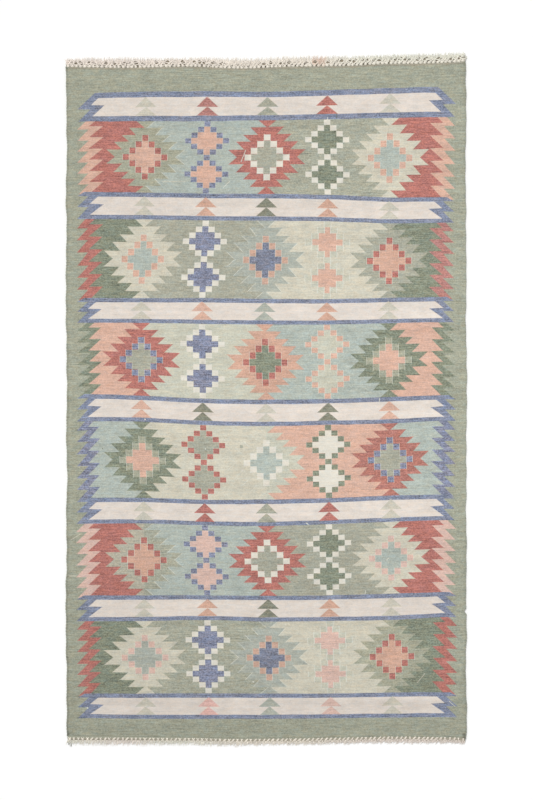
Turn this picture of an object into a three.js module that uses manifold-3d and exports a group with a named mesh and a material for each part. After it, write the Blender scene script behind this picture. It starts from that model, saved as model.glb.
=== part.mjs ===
// A flat-woven dhurrie rug: one flat cloth, with its warp ends knotted along both short sides.
// Millimetres, +Z up. The origin is on the floor under the middle of the rug. +Y runs along the
// rug's length towards the end with the longer tails, and +X runs across it.

import * as THREE from 'three';
import Module from 'manifold-3d';
import { mergeVertices } from 'three/addons/utils/BufferGeometryUtils.js';

const wasm = await Module();
wasm.setup();

// Driving sizes.
const clothThickness = 4;
const edgeRound = 0.8;
const partingGap = 0.3;
const stripWidth = 4;
const stripHeight = 3.4;
const stripInset = 2;
const sideSteps = 40;
const endSteps = 32;

// The selvedges draw in and out a little from row to row of the weave.
const selvedges = [
  { at: -1034, left: -609, right: 609 },
  { at: -961, left: -608, right: 612 },
  { at: -839, left: -609, right: 608 },
  { at: -717, left: -611, right: 611 },
  { at: -595, left: -612, right: 609 },
  { at: -473, left: -608, right: 611 },
  { at: -352, left: -610, right: 609 },
  { at: -230, left: -607, right: 610 },
  { at: -108, left: -610, right: 609 },
  { at: 14, left: -608, right: 612 },
  { at: 136, left: -609, right: 610 },
  { at: 258, left: -611, right: 608 },
  { at: 380, left: -611, right: 610 },
  { at: 502, left: -609, right: 609 },
  { at: 624, left: -611, right: 608 },
  { at: 745, left: -608, right: 607 },
  { at: 867, left: -609, right: 610 },
  { at: 1034, left: -612, right: 608 },
];

// Each end: where the last weft lies, and how far the tails reach past it.
const topEnd = {
  name: 'fringe_top',
  side: 1,
  locks: 94,
  rows: [
    { at: -612, edge: 1014, reach: 25 },
    { at: -438, edge: 1011, reach: 29 },
    { at: -231, edge: 1015, reach: 25 },
    { at: -79, edge: 1009, reach: 30 },
    { at: 104, edge: 1015, reach: 29 },
    { at: 241, edge: 1017, reach: 29 },
    { at: 363, edge: 1023, reach: 26 },
    { at: 470, edge: 1024, reach: 28 },
    { at: 561, edge: 1027, reach: 29 },
    { at: 612, edge: 1031, reach: 24 },
  ],
  slantFrom: 250,
};
const bottomEnd = {
  name: 'fringe_bottom',
  side: -1,
  locks: 90,
  rows: [
    { at: -612, edge: -1025, reach: 24 },
    { at: -506, edge: -1026, reach: 25 },
    { at: -247, edge: -1029, reach: 23 },
    { at: -79, edge: -1033, reach: 22 },
    { at: 104, edge: -1032, reach: 20 },
    { at: 211, edge: -1030, reach: 19 },
    { at: 393, edge: -1027, reach: 20 },
    { at: 561, edge: -1029, reach: 18 },
    { at: 612, edge: -1033, reach: 16 },
  ],
  slantFrom: 700,
};

// Sections of one lock, from its root in the strip to its tip: along is a share of its reach.
const lockSections = [
  { along: 0.05, wide: 4.2, high: 2.6 },
  { along: 0.16, wide: 8.2, high: 5.2 },
  { along: 0.34, wide: 8.6, high: 6.0 },
  { along: 0.5, wide: 3.6, high: 3.2 },
  { along: 0.78, wide: 4.6, high: 3.0 },
  { along: 1.0, wide: 2.0, high: 1.4 },
];
const crownShare = 0.55;
const pairLean = 3.0;
const slantLean = 6.5;

// Reads a column of a table at a place between two rows, easing from row to row.
function readTable(rows, place, column) {
  const upper = rows.findIndex((row) => row.at >= place);
  if (upper === 0) return rows[0][column];
  if (upper < 0) return rows[rows.length - 1][column];
  const low = rows[upper - 1];
  const high = rows[upper];
  const share = THREE.MathUtils.smoothstep(place, low.at, high.at);
  return THREE.MathUtils.lerp(low[column], high[column], share);
}

// The x of a station along an end of the cloth, from one selvedge to the other.
function stationX(end, step, inset) {
  const corner = end.rows[0].edge;
  const left = readTable(selvedges, corner, 'left') + inset;
  const right = readTable(selvedges, corner, 'right') - inset;
  return THREE.MathUtils.lerp(left, right, step / endSteps);
}

// The flat cloth, with the outline of its two ends and two selvedges, and slightly round edges.
function clothGeometry() {
  const outline = [];
  for (let step = 0; step <= endSteps; step += 1) {
    const x = stationX(bottomEnd, step, 0);
    outline.push(new THREE.Vector2(x, readTable(bottomEnd.rows, x, 'edge')));
  }
  const rightLow = outline[outline.length - 1].y;
  const rightHigh = topEnd.rows[topEnd.rows.length - 1].edge;
  for (let step = 1; step < sideSteps; step += 1) {
    const y = THREE.MathUtils.lerp(rightLow, rightHigh, step / sideSteps);
    outline.push(new THREE.Vector2(readTable(selvedges, y, 'right'), y));
  }
  for (let step = endSteps; step >= 0; step -= 1) {
    const x = stationX(topEnd, step, 0);
    outline.push(new THREE.Vector2(x, readTable(topEnd.rows, x, 'edge')));
  }
  const leftHigh = topEnd.rows[0].edge;
  const leftLow = bottomEnd.rows[0].edge;
  for (let step = 1; step < sideSteps; step += 1) {
    const y = THREE.MathUtils.lerp(leftHigh, leftLow, step / sideSteps);
    outline.push(new THREE.Vector2(readTable(selvedges, y, 'left'), y));
  }
  const geometry = new THREE.ExtrudeGeometry(new THREE.Shape(outline), {
    depth: clothThickness - 2 * edgeRound,
    bevelEnabled: true,
    bevelThickness: edgeRound,
    bevelSize: edgeRound,
    bevelOffset: -edgeRound,
    bevelSegments: 1,
  });
  geometry.translate(0, 0, edgeRound);
  return geometry;
}

// The narrow strip that holds the roots of the locks. It follows the cloth's edge a gap away.
function stripGeometry(end) {
  const inner = [];
  const outer = [];
  for (let step = 0; step <= endSteps; step += 1) {
    const x = stationX(end, step, stripInset);
    const edge = readTable(end.rows, x, 'edge');
    inner.push(new THREE.Vector2(x, edge + end.side * partingGap));
    outer.push(new THREE.Vector2(x, edge + end.side * (partingGap + stripWidth)));
  }
  const shape = new THREE.Shape([...inner, ...outer.reverse()]);
  return new THREE.ExtrudeGeometry(shape, { depth: stripHeight, bevelEnabled: false });
}

// One lock lying level on the floor: a four-sided strand with a knot near its root.
function lockGeometry(reach, lean) {
  const last = lockSections.length - 1;
  const geometry = new THREE.BoxGeometry(1, 1, 1, 1, last, 1);
  const points = geometry.getAttribute('position');
  for (let i = 0; i < points.count; i += 1) {
    const section = lockSections[Math.round((points.getY(i) + 0.5) * last)];
    const isCrown = points.getZ(i) > 0;
    const half = (section.wide / 2) * (isCrown ? crownShare : 1);
    const x = Math.sign(points.getX(i)) * half + lean * section.along ** 2;
    points.setXYZ(i, x, section.along * reach, isCrown ? section.high : 0);
  }
  return geometry;
}

// Turns a closed geometry into a solid that can be joined.
function toSolid(geometry) {
  geometry.deleteAttribute('normal');
  geometry.deleteAttribute('uv');
  const merged = mergeVertices(geometry, 1e-4);
  return new wasm.Manifold(new wasm.Mesh({
    numProp: 3,
    vertProperties: new Float32Array(merged.getAttribute('position').array),
    triVerts: new Uint32Array(merged.getIndex().array),
  }));
}

// Turns a solid back into a geometry with flat faces.
function toGeometry(solid) {
  const mesh = solid.getMesh();
  const indexed = new THREE.BufferGeometry();
  indexed.setAttribute('position', new THREE.BufferAttribute(mesh.vertProperties, mesh.numProp));
  indexed.setIndex(new THREE.BufferAttribute(mesh.triVerts, 1));
  const geometry = indexed.toNonIndexed();
  geometry.computeVertexNormals();
  return geometry;
}

// How far a lock's tip leans: in pairs towards each other, or all one way past slantFrom.
function leanOf(end, index, x) {
  const slants = x > end.slantFrom;
  const isPairStart = index % 2 === 0;
  const uneven = 0.5 * Math.sin(index * 2.4);
  return (slants ? slantLean : pairLean * (isPairStart ? 1 : -1)) + uneven;
}

// All the locks of one end, joined to their strip.
function fringeGeometry(end) {
  const solids = [toSolid(stripGeometry(end))];
  const left = stationX(end, 0, stripInset);
  const right = stationX(end, endSteps, stripInset);
  const pitch = (right - left) / end.locks;
  for (let index = 0; index < end.locks; index += 1) {
    const x = left + pitch * (index + 0.5);
    const uneven = 1 + 0.05 * Math.sin(index * 1.7) + 0.04 * Math.sin(index * 4.3);
    const reach = readTable(end.rows, x, 'reach') * uneven;
    const isLast = index === end.locks - 1;
    const lean = isLast ? 0 : leanOf(end, index, x);
    const lock = lockGeometry(reach, lean * end.side);
    if (end.side < 0) lock.rotateZ(Math.PI);
    lock.translate(x, readTable(end.rows, x, 'edge') + end.side * partingGap, 0);
    solids.push(toSolid(lock));
  }
  return toGeometry(wasm.Manifold.union(solids));
}

const clothMaterial = new THREE.MeshStandardMaterial({
  color: 0xa4aa93,
  roughness: 0.95,
  metalness: 0,
});
const warpMaterial = new THREE.MeshStandardMaterial({
  color: 0xe2dccd,
  roughness: 0.95,
  metalness: 0,
});

const rug = new THREE.Group();
const cloth = new THREE.Mesh(clothGeometry(), clothMaterial);
cloth.name = 'cloth';
rug.add(cloth);
for (const end of [topEnd, bottomEnd]) {
  const fringe = new THREE.Mesh(fringeGeometry(end), warpMaterial);
  fringe.name = end.name;
  rug.add(fringe);
}

// The origin lies under the middle of the whole rug, fringes included.
const middle = new THREE.Box3().setFromObject(rug).getCenter(new THREE.Vector3());
rug.position.set(-middle.x, -middle.y, 0);
rug.updateMatrixWorld(true);

export default rug;
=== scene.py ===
import math
import random

import bpy
import numpy as np
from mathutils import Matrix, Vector, noise
from mathutils.geometry import delaunay_2d_cdt


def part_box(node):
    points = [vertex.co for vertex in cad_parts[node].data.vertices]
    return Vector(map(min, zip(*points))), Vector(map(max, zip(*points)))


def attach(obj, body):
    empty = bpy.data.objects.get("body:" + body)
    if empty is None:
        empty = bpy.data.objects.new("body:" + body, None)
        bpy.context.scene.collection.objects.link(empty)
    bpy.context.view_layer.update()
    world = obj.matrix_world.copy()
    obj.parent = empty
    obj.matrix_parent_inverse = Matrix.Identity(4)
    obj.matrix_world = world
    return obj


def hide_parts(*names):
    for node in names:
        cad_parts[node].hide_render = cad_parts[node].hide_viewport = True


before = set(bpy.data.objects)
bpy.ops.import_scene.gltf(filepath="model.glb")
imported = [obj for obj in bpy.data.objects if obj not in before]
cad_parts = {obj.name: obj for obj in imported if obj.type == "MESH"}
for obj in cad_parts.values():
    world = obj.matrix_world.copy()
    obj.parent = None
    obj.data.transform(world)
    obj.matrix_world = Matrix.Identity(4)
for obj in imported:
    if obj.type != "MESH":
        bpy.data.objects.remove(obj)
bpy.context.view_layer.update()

# A flat-woven dhurrie rug: one cloth in dyed cotton, and its knotted warp ends on both short sides.
# Everything is laid out in millimetres from the middle of the cloth, x across and y along, and turned
# to metres when a mesh is made.
mm = 0.001

clothLow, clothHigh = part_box("cloth")
thickness = (clothHigh.z - clothLow.z) / mm
# The chart was read from the middle of the picture's rug, 1 mm up from the middle of the cloth's box.
chartOrigin = Vector(((clothLow.x + clothHigh.x) / 2, (clothLow.y + clothHigh.y) / 2 + 1 * mm, 0))


def between(low, high, share):
    return low + (high - low) * share


def easedRead(stations, values, x):
    # A Catmull-Rom curve through the values, level past both ends.
    if x <= stations[0]:
        return values[0]
    if x >= stations[-1]:
        return values[-1]
    i = max(k for k in range(len(stations) - 1) if stations[k] <= x)
    share = (x - stations[i]) / (stations[i + 1] - stations[i])
    before = values[max(i - 1, 0)]
    after = values[min(i + 2, len(values) - 1)]
    start, end = values[i], values[i + 1]
    bend = (2 * before - 5 * start + 4 * end - after) * share**2
    swing = (3 * (start - end) + after - before) * share**3
    return start + 0.5 * ((end - before) * share + bend + swing)


def linear(hexColour, gain=1.0):
    # sRGB hex to linear red, green and blue
    parts = [int(hexColour[i:i + 2], 16) / 255 for i in (1, 3, 5)]
    return [gain * (c / 12.92 if c <= 0.04045 else ((c + 0.055) / 1.055) ** 2.4) for c in parts]


# Camera, light and floor

camera = {
    "aim": (1.8, -1.1),  # what the middle of the picture shows
    "seen": 2438,  # how much of the floor the picture's height shows
    "height": 7000,
    "sensor": 36,
    "clipEnd": 100,
}

cameraData = bpy.data.cameras.new("camera")
cameraData.sensor_fit = "VERTICAL"
cameraData.sensor_height = camera["sensor"]
cameraData.lens = camera["sensor"] * camera["height"] / camera["seen"]
cameraData.clip_end = camera["clipEnd"]
cameraObject = bpy.data.objects.new("camera", cameraData)
cameraObject.location = chartOrigin + Vector((*camera["aim"], camera["height"])) * mm
bpy.context.scene.collection.objects.link(cameraObject)
bpy.context.scene.camera = cameraObject

light = {
    "sky": 0.545,
    "sunPower": 2.1,
    "sunTilt": (-38, -24),  # degrees, so that the light comes from the upper left
    "sunWidth": 30,
}

world = bpy.data.worlds.new("studio")
bpy.context.scene.world = world
world.use_nodes = True
world.node_tree.nodes["Background"].inputs["Color"].default_value = (1, 1, 1, 1)
world.node_tree.nodes["Background"].inputs["Strength"].default_value = light["sky"]

sunData = bpy.data.lights.new("sun", "SUN")
sunData.energy = light["sunPower"]
sunData.angle = math.radians(light["sunWidth"])
sunObject = bpy.data.objects.new("sun", sunData)
sunObject.rotation_euler = [math.radians(angle) for angle in (*light["sunTilt"], 0)]
bpy.context.scene.collection.objects.link(sunObject)
bpy.context.scene.view_settings.view_transform = "Standard"


def addNode(tree, kind, settings=None, links=None):
    # Adds one shader node, sets its properties, and fills or links its sockets by name or number.
    node = tree.nodes.new(kind)
    for name, value in (settings or {}).items():
        setattr(node, name, value)
    for name, value in (links or {}).items():
        if isinstance(value, bpy.types.NodeSocket):
            tree.links.new(value, node.inputs[name])
        else:
            node.inputs[name].default_value = value
    return node


def newMaterial(name, constants):
    # A material whose shader has its own constants set.
    material = bpy.data.materials.new(name)
    material.use_nodes = True
    shader = material.node_tree.nodes["Principled BSDF"]
    for socket, value in constants.items():
        shader.inputs[socket].default_value = value
    return material, material.node_tree, shader


# The studio floor is painted board, matt and nearly white.
floor = {
    "size": 14,  # metres
    "drop": 0.4,  # it lies just below the rug, so that the two don't flicker
    "tints": ("#fdfdfc", "#ffffff"),
    "grain": 3.0,
    "shader": {"Roughness": 0.9, "Specular IOR Level": 0.1},
}
floorMaterial, tree, shader = newMaterial("painted_floor_board", floor["shader"])
floorGrain = addNode(tree, "ShaderNodeTexNoise", None, {"Scale": floor["grain"], "Detail": 2.0})
darker, paler = [(*linear(tint), 1) for tint in floor["tints"]]
floorTint = addNode(tree, "ShaderNodeMix", {"data_type": "RGBA"},
                    {0: floorGrain.outputs["Fac"], 6: darker, 7: paler})
tree.links.new(floorTint.outputs[2], shader.inputs["Base Color"])
bpy.ops.mesh.primitive_plane_add(size=floor["size"], location=(0, 0, -floor["drop"] * mm))
floorObject = bpy.context.object
floorObject.name = "floor"
floorObject.data.materials.append(floorMaterial)
print("camera, light and floor are set")

# The dyes of the yarn, with how strongly each is mottled: the blue and the greens are blended yarns.
dyes = {
    "sage": ("#a6a896", 0.55),
    "khakiSage": ("#acad9c", 0.6),
    "greySage": ("#acac9c", 0.52),
    "sageBody": ("#acac98", 0.55),
    "sageFaded": ("#b8b4a3", 0.5),
    "paleGreen": ("#d3cebc", 0.3),
    "lightGreen": ("#cbcab9", 0.32),
    "lightBlue": ("#b4bcb3", 0.42),
    "lightBlueFaded": ("#b1b5aa", 0.42),
    "darkGreen": ("#898f7d", 0.85),
    "darkOlive": ("#8b8b7b", 0.7),
    "red": ("#b87970", 0.75),
    "redFaded": ("#b67c71", 0.8),
    "rose": ("#b9847d", 0.75),
    "peach": ("#dab3a0", 0.4),
    "peachTan": ("#d3ab97", 0.42),
    "peachDeep": ("#ceab99", 0.4),
    "pink": ("#ddbdb0", 0.36),
    "pinkDeep": ("#e8bdb3", 0.36),
    "cream": ("#e4dad0", 0.16),
    "creamSquare": ("#e4dfd2", 0.16),
    "paleSage": ("#cec9ba", 0.28),
    "blueLine": ("#868da1", 0.95),
    "blue": ("#888ca0", 1.1),
    "blueDeep": ("#808494", 1.0),
    "slit": ("#dcdccf", 0.2),
    "endRows": ("#a39e8d", 0.5),
    "stray": ("#6c7263", 0.3),
}
# The yarn came in lots, and the lower end is woven from darker ones: how bright the cloth is at its
# left and its right side, from the lower end to the upper.
yarnLots = {
    "along": (-1031, -932, -785, -487, -340, 120, 430, 740, 1031),
    "left": (0.915, 0.92, 0.935, 0.95, 0.975, 0.99, 0.975, 0.965, 0.975),
    "right": (0.935, 0.94, 0.975, 0.97, 0.995, 1.01, 1.01, 0.995, 0.985),
    "half": 400,
}

# The weave: where the warps lie, and how unevenly the rows were beaten down.
weave = {
    "warpPitch": 3.2,
    "pickPitch": 2.2,
    "longRun": 20,  # a straight line in the pattern has a point every 20 mm
    "beat": 1.1,  # how far a row strays
    "warpStray": 0.5,
    "beatLength": 55,
    "beatSquash": 0.4,  # its waves are longer along the rug than across it
    "past": 0.03,  # a band's parts run on under the stripes, as a share of its height
    "squareStray": 0.6,  # how far a small square sits to one side
}

# The stripes: the middles of the five columns, the width of the two blue lines, and where the
# stripe's two outer edges lie at its left end, its five columns and its right end.
lineEnds = (-540, 552)
stripes = [
    dict(columns=(-366, -178, 5, 186, 379), border=(17, 16),
         upper=(934, 938, 939, 938, 943, 949, 953), lower=(847, 848, 848, 851, 854, 858, 861)),
    dict(columns=(-370, -183, 1, 188, 376), border=(12, 14),
         upper=(633, 631, 627, 627, 624, 616, 617), lower=(550, 549, 546, 545, 543, 537, 539)),
    dict(columns=(-380, -194, -4, 186, 374), border=(11, 13),
         upper=(310, 309, 309, 307, 306, 310, 313), lower=(234, 234, 231, 229, 229, 233, 236)),
    dict(columns=(-379, -192, 1, 189, 376), border=(13, 13),
         upper=(17, 12, 3, 0, 2, 8, 14), lower=(-66, -67, -77, -80, -77, -72, -65)),
    dict(columns=(-372, -186, 2, 192, 381), border=(12, 11),
         upper=(-299, -299, -305, -304, -300, -292, -289), lower=(-378, -377, -383, -385, -379, -372, -367)),
    dict(columns=(-370, -178, 7, 194, 382), border=(12, 13),
         upper=(-596, -596, -596, -598, -596, -591, -586), lower=(-675, -674, -671, -676, -674, -671, -662)),
    dict(columns=(-366, -174, 12, 198, 386), border=(12, 12),
         upper=(-895, -895, -895, -895, -895, -892, -891), lower=(-970, -972, -972, -972, -970, -968, -967)),
]
treeDyes = [
    ("paleSage", "rose", "greySage", "red", "paleSage"),
    ("paleSage", "peachTan", "darkOlive", "peachTan", "paleSage"),
    ("paleSage", "peach", "lightBlueFaded", "peachTan", "paleSage"),
    ("peach", "darkOlive", "paleSage", "darkOlive", "peach"),
    ("paleSage", "red", "greySage", "red", "paleSage"),
    ("paleSage", "peachTan", "darkOlive", "peachTan", "paleSage"),
    ("paleSage", "pinkDeep", "lightBlueFaded", "pink", "paleSage"),
]

# The ends of a stripe, as shares of its height and distances from the middle: the blue edge with its
# teeth, and the white edge inside it. The first stripe has one tooth fewer and a long bevel.
stripeEnds = {
    "blue": [(0, 553), (0.16, 575), (0.16, 541), (0.56, 575), (0.56, 541), (1, 575)],
    "white": [(0.17, 511), (0.43, 535), (0.45, 493), (0.84, 535)],
    "firstBlue": [(0, 520), (0.57, 574), (0.58, 534), (1, 571)],
    "firstWhite": [(0.19, 516), (0.43, 538), (0.44, 497), (0.82, 533)],
    # How much further each stripe's blue teeth and its white edge reach, at its left and right end.
    "blueReach": [(0, 5), (0, -2), (0, -2), (0, 4), (2, 0), (2, 6), (-2, 8)],
    "whiteReach": [(-5, 0), (1, 2), (7, 5), (8, 8), (5, 8), (5, 11), (0, 10)],
}

# The saw-tooth edges at both sides of a band: shares of the band where the tips lie.
sideTeeth = {
    "outerTips": (0.115, 0.27, 0.425, 0.588, 0.745, 0.898),
    "outer": (541, 575),
    "deeper": {(2, 0): 9, (2, 1): 4},  # the notches of the third band, at its left and right side
    "innerTips": (0.07, 0.228, 0.387, 0.543, 0.70, 0.858),
    "innerTip": 539,
    "to": 400,  # their dye runs this far in, under the ground
    "levelStray": 0.005,
    "reachStray": 1.5,
}

# The large medallions: for each level its share of the band, its notch and its tip.
medallion = {
    "foot": 27,
    "levels": [(0.091, 3, 51), (0.193, 29, 73), (0.288, 50, 95), (0.400, 70, 118)],
    "waist": (0.5, 92),
    "centre": 0.505,
    "cell": (19.5, 0.09),
    "square": (18.4, 0.081),
    "past": 0.02,  # it runs on under the stripes
    "levelStray": 0.004,
    "tipStray": 1.2,
    # By band and column: one came out wider than the rest, and some have wider or narrower cells.
    "wide": {(5, 0): 1.055},
    "cells": {(1, 0): 0.945, (2, 0): 0.95, (3, 0): 1.02, (4, 0): 1.02},
}
smallPair = {"rows": 13, "cell": 19.2, "square": (18.5, 0.9), "centres": (3, 9)}
diamondReach = 3  # squares from the middle of a diamond to its point
treeShape = {
    "half": 33,
    "lowerHalf": (33, 30.5),  # in the first stripe, and in the others
    "upperFoot": 0.53,  # shares of the height between the blue lines
    "lowerTip": 0.54,
    "stray": 1,
}

# The dyes of the bands: teeth left and right, then the ground from left to right, then the five
# columns. Inner is how far from the middle the ground's own teeth start. A medallion has its body, its
# squares, its fill and the side where a slit outlines it, and two bodies are a left and a right half.
# A pair of diamonds has its squares, its fill and the width of its slits.
bands = [
    dict(teeth=("peach", "peach"), inner=(496, 500),
         grounds=("red", "lightBlue", "khakiSage", "red"),
         columns=[("sageBody", "red", "peach", "right"), ("blue", "peach"),
                  ("red", "creamSquare", "greySage"), ("creamSquare", "darkGreen"),
                  ("paleGreen", "peach", "lightBlue")]),
    dict(teeth=("red", "rose"), inner=(497, 497),
         grounds=("darkGreen", "greySage", "paleGreen", "darkGreen"),
         columns=[("paleGreen", "peach", "lightBlue"), ("creamSquare", "blue"),
                  ("lightBlueFaded", "peachDeep", "blueDeep", "both"),
                  ("lightGreen", "peach", 2.2), ("greySage", "red", "peachTan")]),
    dict(teeth=("darkGreen", "darkGreen"), inner=(501, 504),
         grounds=("peach", "lightGreen", "lightBlue", "peach"),
         columns=[("red", "blue", "greySage"), ("creamSquare", "blue"), ("peachTan", "red", "darkGreen"),
                  ("peach", "lightGreen", 1.3), ("darkGreen", "sageBody", "peach")]),
    dict(teeth=("blue", "blue"), inner=(506, 504),
         grounds=("lightBlue", "paleGreen", "peach", "lightBlue"),
         columns=[("darkGreen", "sageBody", "peach"), ("red", "greySage"),
                  (("paleGreen", "lightGreen"), "creamSquare", "lightBlue", "left"),
                  ("darkGreen", "creamSquare"), ("redFaded", "blue", "greySage")]),
    dict(teeth=("pink", "pink"), inner=(503, 505),
         grounds=("red", "lightBlue", "greySage", "red"),
         columns=[(("sageFaded", "khakiSage"), "red", "peachTan", "right"), ("blue", "pink"),
                  ("red", "creamSquare", "greySage"), ("creamSquare", "darkGreen"),
                  ("paleGreen", "pink", "lightBlue")]),
    dict(teeth=("red", "red"), inner=(502, 508),
         grounds=("darkGreen", "khakiSage", "paleGreen", "darkGreen"),
         columns=[("paleGreen", "pink", "lightBlueFaded"), ("creamSquare", "blue"),
                  ("lightBlueFaded", "peachDeep", "blueDeep", "both"),
                  ("lightGreen", "pink", 2.2), ("sageBody", "red", "peachTan")]),
]
slits = {
    "outline": 2.0,  # beside a medallion
    "square": 0.9,  # beside its squares
    "pair": 0.5,  # beside the squares of a small pair
    "taller": 1.25,  # than the square
}

# Stray yarns, mends and specks that the cloth has picked up, and one patch of painted shade at a corner.
marks = [
    # start, end, width, dye
    ((-370, -60), (-366, -60), 4, "cream"),
    ((-79, -143), (-70, -143), 9, "khakiSage"),
    ((346, 5), (345, -7), 2, "slit"),
    ((122, -375), (131, -382), 2.5, "slit"),
    ((-186, -150), (-182, -150), 4, "slit"),
    ((-105, -204), (-102, -205), 3, "slit"),
    ((-74, -214), (-69, -215), 3.5, "cream"),
    ((-41, -858), (-36, -860), 4.5, "slit"),
    ((485, -833), (460, -863), 1.5, "paleSage"),
    ((304, -581), (302, -592), 2, "slit"),
    ((367, -489), (375, -481), 2.5, "slit"),
    ((-595, -428), (-565, -409), 1.8, "paleGreen"),
    ((-600, -537), (-576, -537), 2.4, "paleGreen"),
    ((-453, 349), (-446, 349), 6, "stray"),
    ((-499, -149), (-496, -149), 3, "stray"),
    ((-546, -938), (-541, -940), 4, "slit"),
    ((64, -975), (64, -984), 1.6, "stray"),
    ((-61, 761), (-76, 724), 1.8, "slit"),
    ((-131, 645), (-109, 666), 1.6, "slit"),
    ((-317, 664), (-244, 665), 1.5, "paleGreen"),
    ((214, 873), (215, 858), 1.6, "stray"),
    ((188, 861), (188, 846), 1.6, "slit"),
    ((558, -918), (576, -935), 1.8, "slit"),
    # Painted shade: a dark patch at the lower right corner.
    ((603, -1016), (603, -1031), 8, "darkOlive"),
]

# The outline comes from the frame: the widest ring of the cloth, side by side.
ring = np.array([v.co[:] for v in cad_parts["cloth"].data.vertices])
ring = (ring - np.array(chartOrigin)) / mm
ring = ring[abs(ring[:, 2] - thickness / 2) < thickness / 2 - 0.4]
selvedge = {
    "side": 590,  # the ring's points past this are a side, and past the next an end
    "end": 1000,
    "corner": 605,  # where the ends are read at the corners
    "scallop": 0.9,
    "scallopPitch": 9.6,
    "meanTurn": 0.6,  # taken off, so that the scallops don't widen the cloth
    "drawnIn": {"left": 1.6, "right": -0.2},
    "wave": 1.2,
    "wavePitch": 72,
    "waveMix": (0.6, 1.6),  # how much of it is even, and how much uneven
    "waveStart": {"left": 0, "right": 7.3},
    "step": 2.4,  # between the points of the outline along a selvedge
    "endPosts": 200,
    # How much painted shade darkens the selvedges, from the lower end to the upper.
    "shadeAt": (-1031, -500, -250, 400, 1031),
    "shade": {"left": (0.14, 0.1, 0.08, 0.08, 0.08), "right": (0.06, 0.04, 0.0, 0.0, 0.05)},
    # Painted shade that darkens the cloth more near its corners, and how far from a corner it reaches.
    "cornerShade": 0.16,
    "cornerReach": 16,
    "worn": {"side": "right", "at": -644, "half": 8, "depth": 6},  # one place is frayed away
}


def sideOf(axis, sign, limit):
    chosen = ring[ring[:, axis] * sign > limit]
    order = np.argsort(chosen[:, 1 - axis], kind="stable")
    return chosen[order, 1 - axis], chosen[order, axis]


outline = {
    "left": sideOf(0, -1, selvedge["side"]),
    "right": sideOf(0, 1, selvedge["side"]),
    "bottom": sideOf(1, -1, selvedge["end"]),
    "top": sideOf(1, 1, selvedge["end"]),
}


def selvedgeX(side, y):
    # Each selvedge draws in and out a little where the weft turns round its last warps, and the warps
    # at the edge are never equally tight.
    turn = abs(math.sin(math.pi * y / selvedge["scallopPitch"])) - selvedge["meanTurn"]
    place = y / selvedge["wavePitch"] + selvedge["waveStart"][side]
    even, uneven = selvedge["waveMix"]
    wave = math.sin(2 * math.pi * place) * even + uneven * noise.noise(Vector((place, 2, 4)))
    worn = selvedge["worn"]
    frayed = worn["depth"] * max(0, 1 - ((y - worn["at"]) / worn["half"])**2) if side == worn["side"] else 0
    outward = selvedge["scallop"] * turn + selvedge["wave"] * wave - frayed - selvedge["drawnIn"][side]
    return float(np.interp(y, *outline[side])) + (-outward if side == "left" else outward)


def endY(side, x):
    return float(np.interp(x, *outline[side]))


def edgeDistance(x, y):
    across = min(x - selvedgeX("left", y), selvedgeX("right", y) - x)
    along = min(y - endY("bottom", x), endY("top", x) - y)
    return max(0.0, min(across, along))


def clothRing(inset):
    # The outline of the cloth, drawn in by an inset, running counterclockwise.
    rows = int((endY("top", 0) - endY("bottom", 0)) / selvedge["step"])
    posts = selvedge["endPosts"]
    inward = {"bottom": inset, "top": -inset, "left": inset, "right": -inset}
    corners = {}
    for end in ("bottom", "top"):
        for side, sign in (("left", -1), ("right", 1)):
            corners[end, side] = endY(end, sign * selvedge["corner"]) + inward[end]
    points = []
    for end, otherEnd, sides in (("bottom", "top", ("left", "right")), ("top", "bottom", ("right", "left"))):
        firstX, lastX = (selvedgeX(side, corners[end, side]) + inward[side] for side in sides)
        for i in range(posts + 1):
            x = between(firstX, lastX, i / posts)
            points.append((x, endY(end, x) + inward[end]))
        side = sides[1]
        for i in range(1, rows):
            y = between(corners[end, side], corners[otherEnd, side], i / rows)
            points.append((selvedgeX(side, y) + inward[side], y))
    return points


# The pattern is laid down patch by patch, each over the ones before it.
patchCorners = []
patchFaces = []
patchDyes = []
ringEdges = []
drawn = random.Random(7)


def addPatch(points, dye):
    area = sum(a[0] * b[1] - b[0] * a[1] for a, b in zip(points, points[1:] + points[:1]))
    if area < 0:
        points = points[::-1]
    start = len(patchCorners)
    patchCorners.extend(Vector(p) for p in points)
    patchFaces.append(list(range(start, start + len(points))))
    patchDyes.append(dye)


def beaten(x, y):
    # Rows of weft are never quite straight, and warps hardly stray.
    place = Vector((x / weave["beatLength"], y / weave["beatLength"] * weave["beatSquash"], 0))
    aside = weave["warpStray"] * noise.noise(place + Vector((40, 9, 3)))
    return x + aside, y + weave["beat"] * noise.noise(place)


def walk(corners, place):
    # Goes from corner to corner. A slanting edge climbs in steps of one warp, as it does in weaving.
    points = []
    for (x0, s0), (x1, s1) in zip(corners, corners[1:] + corners[:1]):
        if math.isclose(x0, x1, abs_tol=1e-6) or math.isclose(s0, s1, abs_tol=1e-6):
            steps = max(1, round(abs(x1 - x0) / weave["longRun"]))
            points += [place(between(x0, x1, i / steps), between(s0, s1, i / steps)) for i in range(steps)]
            continue
        steps = max(1, round(abs(x1 - x0) / weave["warpPitch"]))
        points.append(place(x0, s0))
        for i in range(steps):
            level = between(s0, s1, (i + 0.5) / steps)
            points.append(place(between(x0, x1, i / steps), level))
            points.append(place(between(x0, x1, (i + 1) / steps), level))
    return [beaten(x, y) for x, y in points]


def stripeEdge(stripe, edge, x):
    stations = (lineEnds[0], *stripe["columns"], lineEnds[1])
    return easedRead(stations, stripe[edge], x)


def onStripe(index):
    # A place in a stripe: x from the middle of the rug, and the share of its height.
    def place(x, share):
        upper, lower = (stripeEdge(stripes[index], edge, x) for edge in ("upper", "lower"))
        return x, between(upper, lower, share)

    return place


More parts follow.
